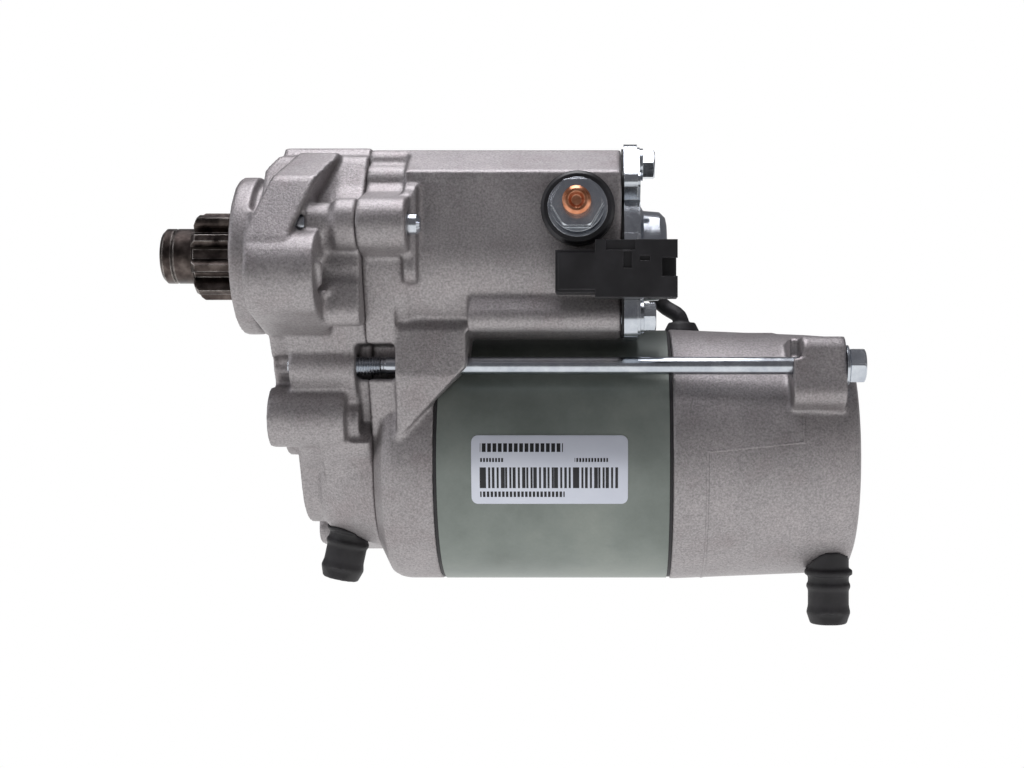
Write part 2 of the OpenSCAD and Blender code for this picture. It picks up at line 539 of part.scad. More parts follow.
module motor_bearing_inners() color(STEEL) on_motor() { inner_ring(mb_x1, mb_w, mb_ri, mb_ro);
  inner_ring(mb_x2, mb_w, mb_ri, mb_ro); }
module motor_bearing_balls() color(STEEL) on_motor() { balls(mb_x1, mb_w, mb_ri, mb_ro, 8);
  balls(mb_x2, mb_w, mb_ri, mb_ro, 8); }

module end_frame() color(CAST) {
  in_r = yoke_r - end_wall;
  difference() {
    union() {
      spun(end_outline, my, mz);
      // bolt lugs
      for (t = TB) let (s = t[0] < my ? 1 : -1) difference() {
        wrap(lug_x, lug_x + lug_len, s > 0
          ? [[t[0] - 1.2, t[1] - 7.4, 5], [t[0] + 18, t[1] - 14, 8], [t[0] + 21, t[1] + 2.6, 5], [t[0]
            + 1, t[1] + 3.9, 5]]
          : [[t[0] + 1.2, t[1] + 7.4, 5], [t[0] - 18, t[1] + 14, 8], [t[0] - 21, t[1] - 2.6, 5],
            [t[0] - 1, t[1] - 3.9, 5]]);
        ngon_x(lug_x - 1, lug_x + 2.6, [[t[0] - s * 14, t[1] + s * 2.4], [t[0] - s * 14, t[1] + s * 13],
          [t[0] + s * 5, t[1] + s * 13], [t[0] + s * 5, t[1] + s * 2.4]]);
      }
      // top pad, rear bearing hub face and drain neck
      wrap(x_end + 8, x_end + 34, [[my - 3, mz + yoke_r - 5.4, 4.6], [my + 10, mz + yoke_r - 6.2, 4.2],
        [my + 3, mz + 20, 8]]);
      xcyl(x_rear - 1, x_rear + 0.7, mb_ro + 3, my, mz);
      neck(DRAINS[1], neck_r);
    }
    on_motor() {
      xcyl(x_end - 1, mb_x2, in_r);
      xcyl(mb_x2 - 1, mb_x2 + mb_w + gap, mb_ro);
      xcyl(mb_x2, x_rear - 2.6, 12);
    }
    for (t = TB) xcyl(lug_x - 2, x_rear + 2, through_d / 2 + 0.3, t[0], t[1]);
    neck(DRAINS[1], neck_bore, 3);
    // way in for the motor lead
    translate(lead_foot - [0, 0, 14]) cylinder(h = 20, r = 4);
  }
}
module through_bolts() color(ZINC)
  for (t = TB) {
    x = lug_x + lug_len + 0.8; tip = x_seam - 25; thick = x_seam + 4.4;
    xcone(tip, tip + 1, through_d / 2 - 0.9, through_d / 2, t[0], t[1]);
    xcyl(tip + 1, thick, through_d / 2, t[0], t[1]);
    xcyl(thick, x + 1, through_d / 2 - 0.35, t[0], t[1]);
    xhead(x, x + 5.2, through_d * 5 / 3, t[0], t[1]);
  }

// ---- brush gear ----
holder_x = com_x1 + 0.8; brush_x0 = com_x0 + 7; brush_l = 10; brush_w = 8;
brush_top = com_r + 11; holder_r = yoke_r - end_wall - 0.6;
module brush_holder() color([0.72, 0.66, 0.45]) on_motor() difference() {
  union() {
    xcyl(holder_x, holder_x + 1.6, holder_r);
    for (a = [0 : 90 : 270]) rotate([a, 0, 0])
      slab([brush_x0 - 1.6, com_r + 2.4, -brush_w / 2 - 1.4], [holder_x + 1, holder_r - 0.6,
        brush_w / 2 + 1.4]);
  }
  xcyl(holder_x - 1, holder_x + 3, com_r + 2);
  for (a = [0 : 90 : 270]) rotate([a, 0, 0])
    slab([brush_x0 - 0.1, com_r + 2, -brush_w / 2 - 0.1], [brush_x0 + brush_l + 0.1, holder_r - 1.6,
      brush_w / 2 + 0.1]);
}
module brushes() color([0.25, 0.2, 0.18]) on_motor()
  for (a = [0 : 90 : 270]) rotate([a, 0, 0]) difference() {
    slab([brush_x0, com_r - 2, -brush_w / 2], [brush_x0 + brush_l, brush_top, brush_w / 2]);
    xcyl(brush_x0 - 1, brush_x0 + brush_l + 1, com_r + 0.09);
  }
module brush_springs() color(STEEL) on_motor()
  for (a = [0 : 90 : 270]) rotate([a, 0, 0]) translate([brush_x0 + brush_l / 2, 0, 0]) rotate([0, 0, 90])
    spring(brush_top, holder_r - 1.6, 2.9, 0.4, 5, 14, 6);

// ======== reduction gears and clutch ========
roller_n = 7; roller_r = 1.75; pin_r = 6;
module idler_pin() color(STEEL) on_idler() xcyl(x_gear - 5, x_seam + 4, pin_r);
module idler_gear() color(STEEL) on_idler() difference() {
  gear_x(x_gear + 0.5, x_gear + gear_face - 0.5, idler_teeth, idler_phase);
  xcyl(x_gear, x_gear + gear_face, pin_r + 2 * roller_r + run_fit + 0.01);
}
module idler_rollers() color(STEEL) on_idler()
  for (i = [0 : roller_n - 1]) let (p = polar(pin_r + roller_r + run_fit, i * 360 / roller_n))
    xcyl(x_gear + 1.6, x_gear + gear_face - 1.6, roller_r, p[0], p[1]);
module roller_cage() color([0.6, 0.5, 0.3]) on_idler() difference() {
  xtube(x_gear + 0.7, x_gear + gear_face - 0.7, pin_r + 2 * roller_r - 0.5, pin_r + 0.6);
  for (i = [0 : roller_n - 1]) let (p = polar(pin_r + roller_r + run_fit, i * 360 / roller_n))
    xcyl(x_gear + 1.5, x_gear + gear_face - 1.5, roller_r + 0.1, p[0], p[1]);
}

race_r = 14; cl_roller_r = 2; cl_n = 5; cl_x0 = x_gear + 0.6; cl_x1 = x_gear + gear_face - 0.6;
module clutch_pockets()
  for (i = [0 : cl_n - 1]) at_x(0) rotate(i * 360 / cl_n) {
    linear_extrude(100) {
      translate(polar(race_r + cl_roller_r + run_fit, 0)) circle(r = cl_roller_r + 0.05);
      polygon([polar(race_r - 0.2, 0), polar(race_r + 2 * cl_roller_r - 0.2, 0), polar(race_r
        + 2 * cl_roller_r - 0.9, 20),
        polar(race_r - 0.2, 20)]);
    }
  }
module clutch_gear() color(STEEL) difference() {
  union() {
    gear_x(x_gear, x_gear + gear_face, clutch_teeth, clutch_phase);
    xcyl(x_gear - 1.2, x_gear + gear_face + 2, clutch_rp - gear_m * ROOT - 0.2);
  }
  xcyl(x_gear - 2, x_seam, race_r + run_fit);
  intersection() { clutch_pockets(); xcyl(cl_x0, cl_x1 + 6, 30); }
  xcyl(x_gear + gear_face + 0.8, x_seam, clutch_rp - gear_m * ROOT - 1.6);
}
module clutch_rollers() color(STEEL)
  for (i = [0 : cl_n - 1]) let (p = polar(race_r + cl_roller_r + run_fit, i * 360 / cl_n))
    xcyl(cl_x0 + 0.1, cl_x1 - 0.1, cl_roller_r, p[0], p[1]);
module clutch_springs() color(STEEL)
  for (i = [0 : cl_n - 1]) rotate([i * 360 / cl_n + 8.3, 0, 0])
    translate([(cl_x0 + cl_x1) / 2, race_r + 1.55, 0]) rotate([0, -90, 0])
    spring(-0.1, 2.9, 1, 0.22, 4, 12, 6);
module clutch_plate() color(STEEL)
  xtube(x_gear + gear_face + 0.8, x_gear + gear_face + 2, clutch_rp - gear_m * ROOT - 1.6, race_r + gap);

// straight splines of the pinion shaft and its tube
sh_r = pinion_shaft_d / 2; splines = 6; sp_r = sh_r + 1.5; sp_w = 3.4;
tube_x1 = cb_x2 + cb_w + 1.2; step_x = 24.5;
module spline_bars(x0, x1, r, w) for (i = [0 : splines - 1]) rotate([i * 360 / splines, 0, 0])
  slab([x0, 0, -w / 2], [x1, r, w / 2]);
module clutch_inner() color(STEEL) difference() {
  union() {
    xcyl(cb_x1 - 0.5, tube_x1, cb_ri);
    xcyl(x_gear - 1.2, x_gear + gear_face + 2, race_r);
  }
  xcyl(0, tube_x1 + 1, sh_r + run_fit);
  intersection() { spline_bars(0, step_x + 1, 20, sp_w + 0.3); xcyl(0, step_x + 1, sp_r + 0.15); }
  xcyl(step_x, tube_x1 + 1, 10);
}
module bearing_outers() color(STEEL) {
  outer_ring(cb_x1, cb_w, cb_ri, cb_ro); outer_ring(cb_x2, cb_w, cb_ri, cb_ro);
  on_motor() { outer_ring(mb_x1, mb_w, mb_ri, mb_ro); outer_ring(mb_x2, mb_w, mb_ri, mb_ro); }
}
module clutch_bearing_inners() color(STEEL) { inner_ring(cb_x1, cb_w, cb_ri, cb_ro); inner_ring(cb_x2,
  cb_w, cb_ri, cb_ro); }
module clutch_bearing_balls() color(STEEL) { balls(cb_x1, cb_w, cb_ri, cb_ro, 12); balls(cb_x2, cb_w,
  cb_ri, cb_ro, 12); }

// ---- pinion ----
pin_x1 = cb_x1 - 1.2; pin_x0 = pin_x1 - pinion_len; nose_x = pin_x0 - 10.4;
ring_x = nose_x + 3.8; tail_x = core_x + 5.2; nose_r = 5.4; seat_r = 9.5;
module pinion_shaft() color(STEEL) difference() {
  union() {
    xcone(nose_x, nose_x + 0.6, nose_r - 0.6, nose_r);
    xcyl(nose_x + 0.6, pin_x0 + 2, nose_r);
    xcyl(pin_x0 + 2, tail_x, sh_r);
    intersection() { spline_bars(pin_x1, pin_x1 + 17, 20, sp_w); xcyl(pin_x1, pin_x1 + 17, sp_r); }
  }
  // ring groove at the nose, ring groove and ball pocket at the tail
  xtube(ring_x - 0.1, ring_x + 1.1, 9, nose_r - 0.7);
  xtube(tail_x - 3, tail_x - 2, 9, sh_r - 0.8);
  xcyl(tail_x - 5, tail_x + 1, 4.1);
}
module pinion_gear() color(DARK) difference() {
  intersection() {
    at_x(pin_x0) linear_extrude(pin_x1 - pin_x0)
      polygon(gear_points(pinion_teeth, pinion_m, 20, pinion_od / 2, pinion_m * (pinion_teeth / 2 - 1),
        0.1));
    spun([[pin_x0, 0], [pin_x0, pinion_od / 2 - 2], [pin_x0 + 0.5, pinion_od / 2 - 0.9], [pin_x0 + 1.6,
      pinion_od / 2 + 0.01],
      [pin_x1 - 0.6, pinion_od / 2 + 0.01], [pin_x1, pinion_od / 2 - 0.6], [pin_x1, 0]]);
  }
  xcyl(pin_x0 + 2, pin_x1 + 1, sh_r);
  xcyl(pin_x0 - 1, pin_x1, nose_r);
}
module collars() color(DARK) {
  difference() {
    union() {
      xcyl(ring_x + 0.15, pin_x0, collar_d / 2 - 0.3);
      xcyl(ring_x + 0.6, pin_x0 - 0.4, collar_d / 2);
    }
    xcyl(ring_x - 1, pin_x0 + 1, nose_r);
    xcyl(ring_x - 1, ring_x + 1.2, nose_r + 1.4);
  }
  difference() {
    spun([[nose_x + 0.1, 0], [nose_x + 0.1, collar_d / 2 - 1], [nose_x + 1.1, collar_d / 2],
      [ring_x - 0.3, collar_d / 2],
      [ring_x, collar_d / 2 - 0.3], [ring_x, 0]]);
    xcyl(nose_x - 1, ring_x + 1, nose_r);
  }
}
module snap_ring() color(STEEL) difference() {
  xtube(ring_x + 0.05, ring_x + 1, nose_r + 1.2, nose_r - 0.6);
  slab([ring_x - 1, 0, -1.2], [ring_x + 2, 12, 1.2]);
}
module spring_seat() color(STEEL) difference() {
  union() {
    xtube(tail_x - 5, tail_x - 3, seat_r, sh_r);
    xtube(tail_x - 3, tail_x - 2, sh_r + 1.4, sh_r - 0.7);
  }
  slab([tail_x - 3, 0, -1], [tail_x - 1, 12, 1]);
}
module return_spring() color(STEEL) spring(step_x + 0.1, tail_x - 5.1, sh_r + 1.7, 0.8, 8, 20, 8);
module steel_ball() color(STEEL) translate([tail_x - 1, 0, 0]) sphere(r = 4);

// ======== switch ========
rod_r = 3.4;
module switch_core() color(STEEL) difference() {
  union() { xcyl(core_x, bobbin_x, switch_in); xcyl(bobbin_x - 1, core_face, 11); }
  xcyl(core_x - 1, bobbin_x - 3, seat_r + gap);
  xcyl(core_x, core_face + 1, rod_r + run_fit);
}
module coil_bobbin() color([0.16, 0.16, 0.17]) difference() {
  xcyl(bobbin_x, bobbin_end, switch_in - 0.3);
  xcyl(bobbin_x - 1, bobbin_end + 1, 11.2);
  xtube(bobbin_x + 1.5, bobbin_end - 1.5, switch_in, 12.4);
}
module switch_coil() color([0.55, 0.25, 0.12]) xtube(bobbin_x + 1.5, bobbin_end - 1.5, switch_in - 0.9,
  12.4);
stem_x = contact_face + 2.4; stem_end = plate_x + plate_t + 3.4;
module plunger() color(STEEL) difference() {
  union() {
    xcyl(tail_x + 3.05, plunger_x + 12, rod_r);
    xtube(plunger_x, plunger_x + 9, plunger_r, 7.8);
    xcyl(plunger_x + 9, stem_x, plunger_r);
    xcyl(stem_x - 1, stem_end, 4.6);
  }
  xtube(stem_end - 1.8, stem_end - 0.8, 6, 3.9);
}
module plunger_spring() color(STEEL) spring(core_face + 0.1, plunger_x + 8.9, 5.9, 0.6, 6, 18, 8);
module moving_contact() color(COPPER) xtube(plate_x, plate_x + plate_t, plate_r, 6.6);
module contact_bush() color(BLACK) xtube(plate_x, stem_end - 1.8, 6.6, 4.6);
module stem_clip() color(STEEL) difference() {
  xtube(stem_end - 1.75, stem_end - 0.85, 6.4, 4);
  slab([stem_end - 3, 0, -1], [stem_end, 12, 1]);
}
module contact_spring() color(STEEL) spring(stem_x + 0.1, plate_x - 0.1, 5.6, 0.5, 3, 16, 6);
// fixed contact on side s: -1 near, +1 far
module fixed_contact(s, z) {
  slab([contact_face - 2.2, s > 0 ? 13.5 : -switch_in + 1.2, z - 7], [contact_face, s > 0
    ? switch_in - 1.2 : -13.5, z + 7]);
  slab([contact_face - 2.2, s > 0 ? switch_in - 5.2 : -switch_in + 1.2, z - 7],
    [stud_x + 5, s > 0 ? switch_in - 1.2 : -switch_in + 5.2, z + 7]);
}
module battery_contact() color(COPPER) {
  intersection() { fixed_contact(-1, stud_z - 3.5); xcyl(contact_face - 5, stud_x + 9, switch_in - 0.3); }
  difference() {
    translate([stud_x, -switch_r - stud_len, stud_z]) rotate([-90, 0, 0]) {
      cylinder(h = 1, r1 = stud_d / 2 - 0.9, r2 = stud_d / 2);
      translate([0, 0, 1]) cylinder(h = stud_len - nut_top - 1, r = stud_d / 2);
      translate([0, 0, 2]) cylinder(h = stud_len + 7, r = shank_r);
    }
    translate([stud_x, -switch_r - stud_len - 1, stud_z]) rotate([-90, 0, 0]) cylinder(h = 2.2, r1 = 3,
      r2 = 1.4);
  }
}
module motor_contact() color(COPPER) {
  intersection() { fixed_contact(1, stud_z - 3.5); xcyl(contact_face - 5, stud_x + 9, switch_in - 0.3); }
  translate([stud_x, switch_in - 5, stud_z]) rotate([-90, 0, 0]) cylinder(h = 21, r = stud_d / 2 - 0.6);
}
module terminal_nuts() color(ZINC) {
  translate([stud_x, switch_r + 9.1, stud_z]) rotate([-90, 0, 0]) difference() {
    cylinder(h = 3.6, r = 11 / sqrt(3), $fn = 6);
    translate([0, 0, -1]) cylinder(h = 6, r = stud_d / 2 - 0.6);
  }
  translate([stud_x, -switch_r, stud_z]) rotate([90, 0, 0]) {
    difference() {
      union() {
        translate([0, 0, base_top + 5.2]) cylinder(h = 1.4, r = 7.6);
        translate([0, 0, base_top + 6.5]) intersection() {
          cylinder(h = nut_top - base_top - 6.5, r = 13 / sqrt(3), $fn = 6);
          cylinder(h = nut_top - base_top - 6.5, r1 = 13.6, r2 = 7);
        }
      }
      translate([0, 0, base_top]) cylinder(h = 20, r = shank_r);
    }
    difference() {
      union() {
        translate([0, 0, base_top]) cylinder(h = 1.3, r = 8.6);
        translate([0, 0, base_top + 1.3]) cylinder(h = 3.4, r = 12 / sqrt(3), $fn = 6);
      }
      translate([0, 0, base_top - 1]) cylinder(h = 20, r = shank_r);
    }
  }
}
// insulating collar under the battery stud's nuts
module terminal_base() color(BLACK) translate([stud_x, -switch_r, stud_z]) rotate([90, 0, 0]) difference() {
  union() {
    translate([0, 0, -3]) cylinder(h = 3.5, r = 6.4);
    translate([0, 0, 0.3]) cylinder(h = 5.5, r = 10.7);
    translate([0, 0, 5.7]) cylinder(h = 0.9, r1 = 10.7, r2 = 9.8);
  }
  translate([0, 0, -4]) cylinder(h = 20, r = shank_r);
}
// signal plug socket beside the battery stud; its mouth opens to the rear
plug_y = -switch_r - 12.6;
module signal_connector() color(BLACK) difference() {
  union() {
    slab([stud_x - 6.3, plug_y + 1, -13.2], [stud_x + 6, -switch_r + 1, -1.2]);
    slab([stud_x - 5.5, plug_y, -12.4], [stud_x + 5.2, plug_y + 1.2, -2]);
    slab([stud_x + 5, plug_y, -14.6], [stud_x + 28.4, -switch_r - 2, 1.8]);
    slab([stud_x - 3, -switch_r - 2, -11], [stud_x + 3, -15, -5]);
  }
  // socket, side notches and latch window
  slab([stud_x + 13, plug_y + 1.6, -12.8], [stud_x + 40, -switch_r - 3.4, 0]);
  slab([stud_x + 24, plug_y - 2, -8.6], [stud_x + 30, plug_y + 4, -3.4]);
  slab([stud_x + 13, plug_y - 1, -6.3], [stud_x + 15.4, plug_y + 1, -1.5]);
  slab([stud_x + 17.6, plug_y - 1, -4.2], [stud_x + 20.6, plug_y + 1, -2.8]);
  slab([stud_x + 8, plug_y - 1, -1.2], [stud_x + 16.5, plug_y + 0.9, 3]);
  translate([stud_x, -switch_r, stud_z]) rotate([90, 0, 0]) cylinder(h = 20, r = 11);
  // blade way
  slab([stud_x - 1, plug_y + 5, -8.6], [stud_x + 1, -14, -7.4]);
  slab([stud_x - 1, plug_y + 5, -8.6], [stud_x + 14, plug_y + 6, -7.4]);
  xcyl(0, x_cover + cover_t + 20, switch_r);
}
module connector_blade() color([0.8, 0.68, 0.4]) {
  slab([stud_x - 1, plug_y + 5, -8.6], [stud_x + 22, plug_y + 6, -7.4]);
  slab([stud_x - 1, plug_y + 5, -8.6], [stud_x + 1, -16, -7.4]);
}
// rubber drain tubes below the front and rear of the motor
module drain_tube(d, len, outline) difference() {
  translate(d[0]) rotate([0, d[1], 0]) mirror([0, 0, 1]) difference() {
    union() {
      cylinder(h = len - 5.6, r = 6.4);
      translate([0, 0, len - 17]) cylinder(h = 1.7, r = 7.5);
      translate([0, 0, len - 12.4]) cylinder(h = 1.2, r = 6.9);
      translate([0, 0, len - 5.7]) cylinder(h = 2.2, r1 = 6.4, r2 = 6.9);
      intersection() {
        translate([0, 0, len - 3.6]) cylinder(h = 3.6, r1 = 6.9, r2 = 5.7);
        slab([-8, -5.4, 0], [8, 5.4, len]);
      }
    }
    translate([0, 0, -1]) cylinder(h = d[2] + 1, r = neck_r);
    translate([0, 0, -1]) cylinder(h = len - 3.4, r = 4);
    slab([-4.6, -0.7, len - 6], [4.6, 0.7, len + 1]);
  }
  spun(outline, my, mz);
}
module drain_tubes() color(BLACK) {
  drain_tube(DRAINS[0], 22.5, nose_outline);
  drain_tube(DRAINS[1], 24.4, end_outline);
}
function smooth_at(p, i, t) = let (n = len(p) - 1, a = p[max(i - 1, 0)], b = p[i], c = p[i + 1],
  d = p[min(i + 2, n)])
  b + t / 2 * ((c - a) + t * ((2 * a - 5 * b + 4 * c - d) + t * (3 * b - a - 3 * c + d)));
module tube(p, r, side) {
  n = len(p) - 1;
  pts = [for (i = [0 : n]) let (d = p[min(i + 1, n)] - p[max(i - 1, 0)], u = cross(d, [0, 1, 0.1]),
    v = cross(d, u))
    for (k = [0 : side - 1]) p[i] + r * (cos(k * 360 / side) * u / norm(u)
      + sin(k * 360 / side) * v / norm(v))];
  polyhedron(points = pts, faces = concat([[for (k = [0 : side - 1]) k]],
    [[for (k = [side - 1 : -1 : 0]) n * side + k]],
    [for (i = [0 : n - 1]) for (k = [0 : side - 1]) let (l = (k + 1) % side)
      [i * side + k, (i + 1) * side + k, (i + 1) * side + l, i * side + l]]), convexity = 6);
}
// covered lead from the motor terminal down to the end frame
module motor_lead() color(BLACK) {
  p = [[stud_x + 1, switch_r + 6, stud_z], [stud_x + 10, switch_r + 6.4, stud_z - 1.5],
    [stud_x + 17, switch_r + 12.5, -1], lead_foot + [-7, 3, 11], lead_foot + [-0.8, 0.6, 6.4],
    lead_foot + [0, 0, 1]];
  difference() {
    union() {
      tube([for (i = [0 : 4]) for (t = [0 : 0.25 : i == 4 ? 1 : 0.9]) smooth_at(p, i, t)], 2.6, 14);
      translate(lead_foot + [0, 0, 1.2]) cylinder(h = 3.2, r1 = 6, r2 = 4.4);
      translate(lead_foot - [0, 0, 5]) cylinder(h = 7, r = 4);
      translate([stud_x, switch_r + 3, stud_z]) rotate([-90, 0, 0]) cylinder(h = 6, r = 6);
    }
    translate([stud_x, switch_r - 9, stud_z]) rotate([-90, 0, 0]) cylinder(h = 30, r = stud_d / 2 - 0.6);
  }
}
module label() color(PAPER) on_motor() intersection() {
  sector(x_yoke + 10, x_yoke + 60, yoke_r + 0.02, yoke_r + 0.27, 150, 70);
  translate([x_yoke + 35, -20, -3.1]) rotate([90, 0, 0]) linear_extrude(60) {
    square([47, 16.7], center = true);
    square([43, 20.7], center = true);
    for (x = [-21.5, 21.5]) for (z = [-8.35, 8.35]) translate([x, z]) circle(r = 2);
  }
}

drive_housing();
switch_housing();
switch_cover();
cover_gasket();
cover_bolts();
bolt_washers();
housing_screws();
yoke();
pole_cores();
field_coils();
seal_rings();
end_frame();
through_bolts();
armature_shaft();
armature_core();
armature_windings();
commutator_bars();
commutator_hub();
motor_bearing_inners();
motor_bearing_balls();
brush_holder();
brushes();
brush_springs();
idler_pin();
idler_gear();
idler_rollers();
roller_cage();
clutch_gear();
clutch_rollers();
clutch_springs();
clutch_plate();
clutch_inner();
bearing_outers();
clutch_bearing_inners();
clutch_bearing_balls();
pinion_shaft();
pinion_gear();
collars();
snap_ring();
spring_seat();
return_spring();
steel_ball();
switch_core();
coil_bobbin();
switch_coil();
plunger();
plunger_spring();
moving_contact();
contact_bush();
stem_clip();
contact_spring();
battery_contact();
motor_contact();
terminal_nuts();
terminal_base();
signal_connector();
connector_blade();
drain_tubes();
motor_lead();
label();
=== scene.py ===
import math

import bpy
import numpy as np
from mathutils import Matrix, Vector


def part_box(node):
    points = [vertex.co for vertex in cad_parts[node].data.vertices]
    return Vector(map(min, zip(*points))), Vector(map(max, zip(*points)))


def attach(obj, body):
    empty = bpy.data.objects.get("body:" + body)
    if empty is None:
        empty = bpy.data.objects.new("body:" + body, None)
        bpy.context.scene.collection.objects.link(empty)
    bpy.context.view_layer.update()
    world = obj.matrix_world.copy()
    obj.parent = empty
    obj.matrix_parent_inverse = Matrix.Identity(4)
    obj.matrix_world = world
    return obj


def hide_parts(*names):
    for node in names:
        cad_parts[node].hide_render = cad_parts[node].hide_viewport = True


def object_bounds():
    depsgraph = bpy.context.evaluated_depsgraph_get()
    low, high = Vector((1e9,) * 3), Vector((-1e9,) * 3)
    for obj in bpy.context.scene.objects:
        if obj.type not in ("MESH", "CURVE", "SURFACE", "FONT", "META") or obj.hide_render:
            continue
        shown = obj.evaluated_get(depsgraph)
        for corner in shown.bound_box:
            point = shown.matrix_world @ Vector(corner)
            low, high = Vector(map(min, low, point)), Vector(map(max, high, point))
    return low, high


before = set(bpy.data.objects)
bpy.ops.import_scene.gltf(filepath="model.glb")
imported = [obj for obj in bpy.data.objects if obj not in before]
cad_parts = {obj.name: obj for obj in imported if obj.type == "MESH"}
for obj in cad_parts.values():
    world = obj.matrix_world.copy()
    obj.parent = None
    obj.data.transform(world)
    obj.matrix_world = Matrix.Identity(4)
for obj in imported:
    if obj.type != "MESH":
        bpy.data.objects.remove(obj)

# The whole starter motor: everything below is placed from the boxes of its imported parts, in metres.
# The box of the imported model is kept: the light table's height and the side lamps' aim are taken from it.
MM = 0.001
packed_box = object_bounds()
yoke_low, yoke_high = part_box("yoke")
motor_y = (yoke_low.y + yoke_high.y) / 2
motor_z = (yoke_low.z + yoke_high.z) / 2
yoke_radius = (yoke_high.z - yoke_low.z) / 2
scene = bpy.context.scene

# Light table: a wide sheet of opal acrylic that glows from below, brightest under and behind the part.
# It and the studio behind it are plain white, so the part stands on a pale ground.
def linear(hex_colour, alpha=1.0):
    """An sRGB hex colour as linear red, green, blue and alpha."""
    channels = np.array([int(hex_colour[i:i + 2], 16) / 255 for i in (1, 3, 5)])
    values = np.where(channels <= 0.04045, channels / 12.92, ((channels + 0.055) / 1.055) ** 2.4)
    return (*values.tolist(), alpha)


def add(tree, kind, settings=None, links=None):
    """Add one shader node, set its properties and input values, and link the named inputs."""
    new = tree.nodes.new("ShaderNode" + kind)
    for key, value in (settings or {}).items():
        if isinstance(key, int) or key[0].isupper():
            new.inputs[key].default_value = value
        else:
            setattr(new, key, value)
    for key, source in (links or {}).items():
        tree.links.new(source, new.inputs[key])
    return new


def new_material(name):
    """An empty node material and its tree."""
    material = bpy.data.materials.new(name)
    material.use_nodes = True
    material.node_tree.nodes.clear()
    return material, material.node_tree


def mesh_from_grid(name, grid, wrap=True, caps=True):
    """A mesh through a grid of points (rings, round, 3): quads join neighbours, rings close on themselves
    when wrap is set, and a fan of triangles to each end's middle closes the ends when caps is set."""
    rings, around = grid.shape[:2]
    points = grid.reshape(-1, 3)
    i, j = np.meshgrid(np.arange(rings - 1), np.arange(around if wrap else around - 1), indexing="ij")
    k = (j + 1) % around
    quads = np.stack([i * around + j, i * around + k, (i + 1) * around + k, (i + 1) * around + j], -1)
    faces = quads.reshape(-1, 4).tolist()
    if caps:
        ends = np.stack([grid[0].mean(0), grid[-1].mean(0)])
        first, last = len(points), len(points) + 1
        points = np.concatenate([points, ends])
        j = np.arange(around)
        k = (j + 1) % around
        base = (rings - 1) * around
        faces += np.stack([np.full(around, first), k, j], -1).tolist()
        faces += np.stack([np.full(around, last), base + j, base + k], -1).tolist()
    mesh = bpy.data.meshes.new(name)
    mesh.from_pydata(points.tolist(), [], faces)
    mesh.update()
    new = bpy.data.objects.new(name, mesh)
    scene.collection.objects.link(new)
    return new


table_gap = 1.2 * MM
table_reach = np.linspace(-4, 4, 9)
across, along = np.meshgrid(table_reach, table_reach, indexing="ij")
table_points = np.stack([across, along, np.full_like(across, packed_box[0][2] - table_gap)], -1)
table = mesh_from_grid("light_table", table_points, wrap=False, caps=False)

opal, tree = new_material("opal_acrylic_sheet")
spot = add(tree, "SeparateXYZ", links={0: add(tree, "TexCoord").outputs["Object"]})
glow = add(tree, "MapRange", {"interpolation_type": "SMOOTHSTEP", "From Min": -0.6, "From Max": -0.3,
                              "To Min": 0.15, "To Max": 1.15}, {"Value": spot.outputs["Y"]})
seen = add(tree, "LightPath").outputs["Is Camera Ray"]
power = add(tree, "Mix", {"data_type": "FLOAT", 3: 1.0}, {0: seen, 2: glow.outputs[0]})
sheet = add(tree, "Emission", {"Color": linear("#ffffff")}, {"Strength": power.outputs[0]})
add(tree, "OutputMaterial", links={"Surface": sheet.outputs[0]})
table.data.materials.append(opal)


# Studio light: one large softbox straight overhead, a narrower one high at the left front, and a dim one
# low at the right that lifts the shadow side.
def softbox(name, place, aim, width, depth, watts, tint):
    """A rectangular area lamp, width by depth metres, at place and facing aim."""
    lamp = bpy.data.lights.new(name, "AREA")
    lamp.shape = "RECTANGLE"
    lamp.size = width
    lamp.size_y = depth
    lamp.energy = watts
    lamp.color = linear(tint)[:3]
    holder = bpy.data.objects.new(name, lamp)
    holder.location = place
    direction = np.array(aim) - np.array(place)
    pan = math.atan2(direction[1], direction[0])
    tilt = math.atan2(np.hypot(direction[0], direction[1]), -direction[2])
    holder.rotation_euler = (tilt, 0, pan - math.pi / 2)
    scene.collection.objects.link(holder)


middle = [(packed_box[0][k] + packed_box[1][k]) / 2 for k in range(3)]
softbox("overhead_softbox", (0.03, 0.0, 0.6), (0.05, 0, 0), 0.55, 0.35, 3.5, "#fcfbff")
softbox("left_softbox", (-0.7, -0.25, 0.3), middle, 0.3, 0.5, 1.3, "#f8f9ff")
softbox("right_fill", (0.8, -0.6, 0.1), middle, 0.3, 0.6, 0.4, "#fff8f4")

scene.world = bpy.data.worlds.new("studio_room")
scene.world.use_nodes = True
room = scene.world.node_tree
room.nodes.clear()
dim = add(room, "Background", {"Color": linear("#eceaf0"), "Strength": 0.2})
white = add(room, "Background", {"Color": linear("#ffffff"), "Strength": 1.0})
either = add(room, "MixShader", links={0: add(room, "LightPath").outputs["Is Camera Ray"],
                                       1: dim.outputs[0], 2: white.outputs[0]})
add(room, "OutputWorld", links={"Surface": either.outputs[0]})
scene.view_settings.view_transform = "Standard"

# Camera: level with the middle of the motor and square on to its near side, lens moved a little sideways.
camera_data = bpy.data.cameras.new("camera")
camera_data.lens = 55.16
camera_data.sensor_width = 36
camera_data.shift_x = -0.0918
camera_data.clip_start = 0.01
camera = bpy.data.objects.new("camera", camera_data)
camera.location = (0.1106, -0.482, -0.0392)
camera.rotation_euler = (math.pi / 2, 0, 0)
scene.collection.objects.link(camera)
scene.camera = camera
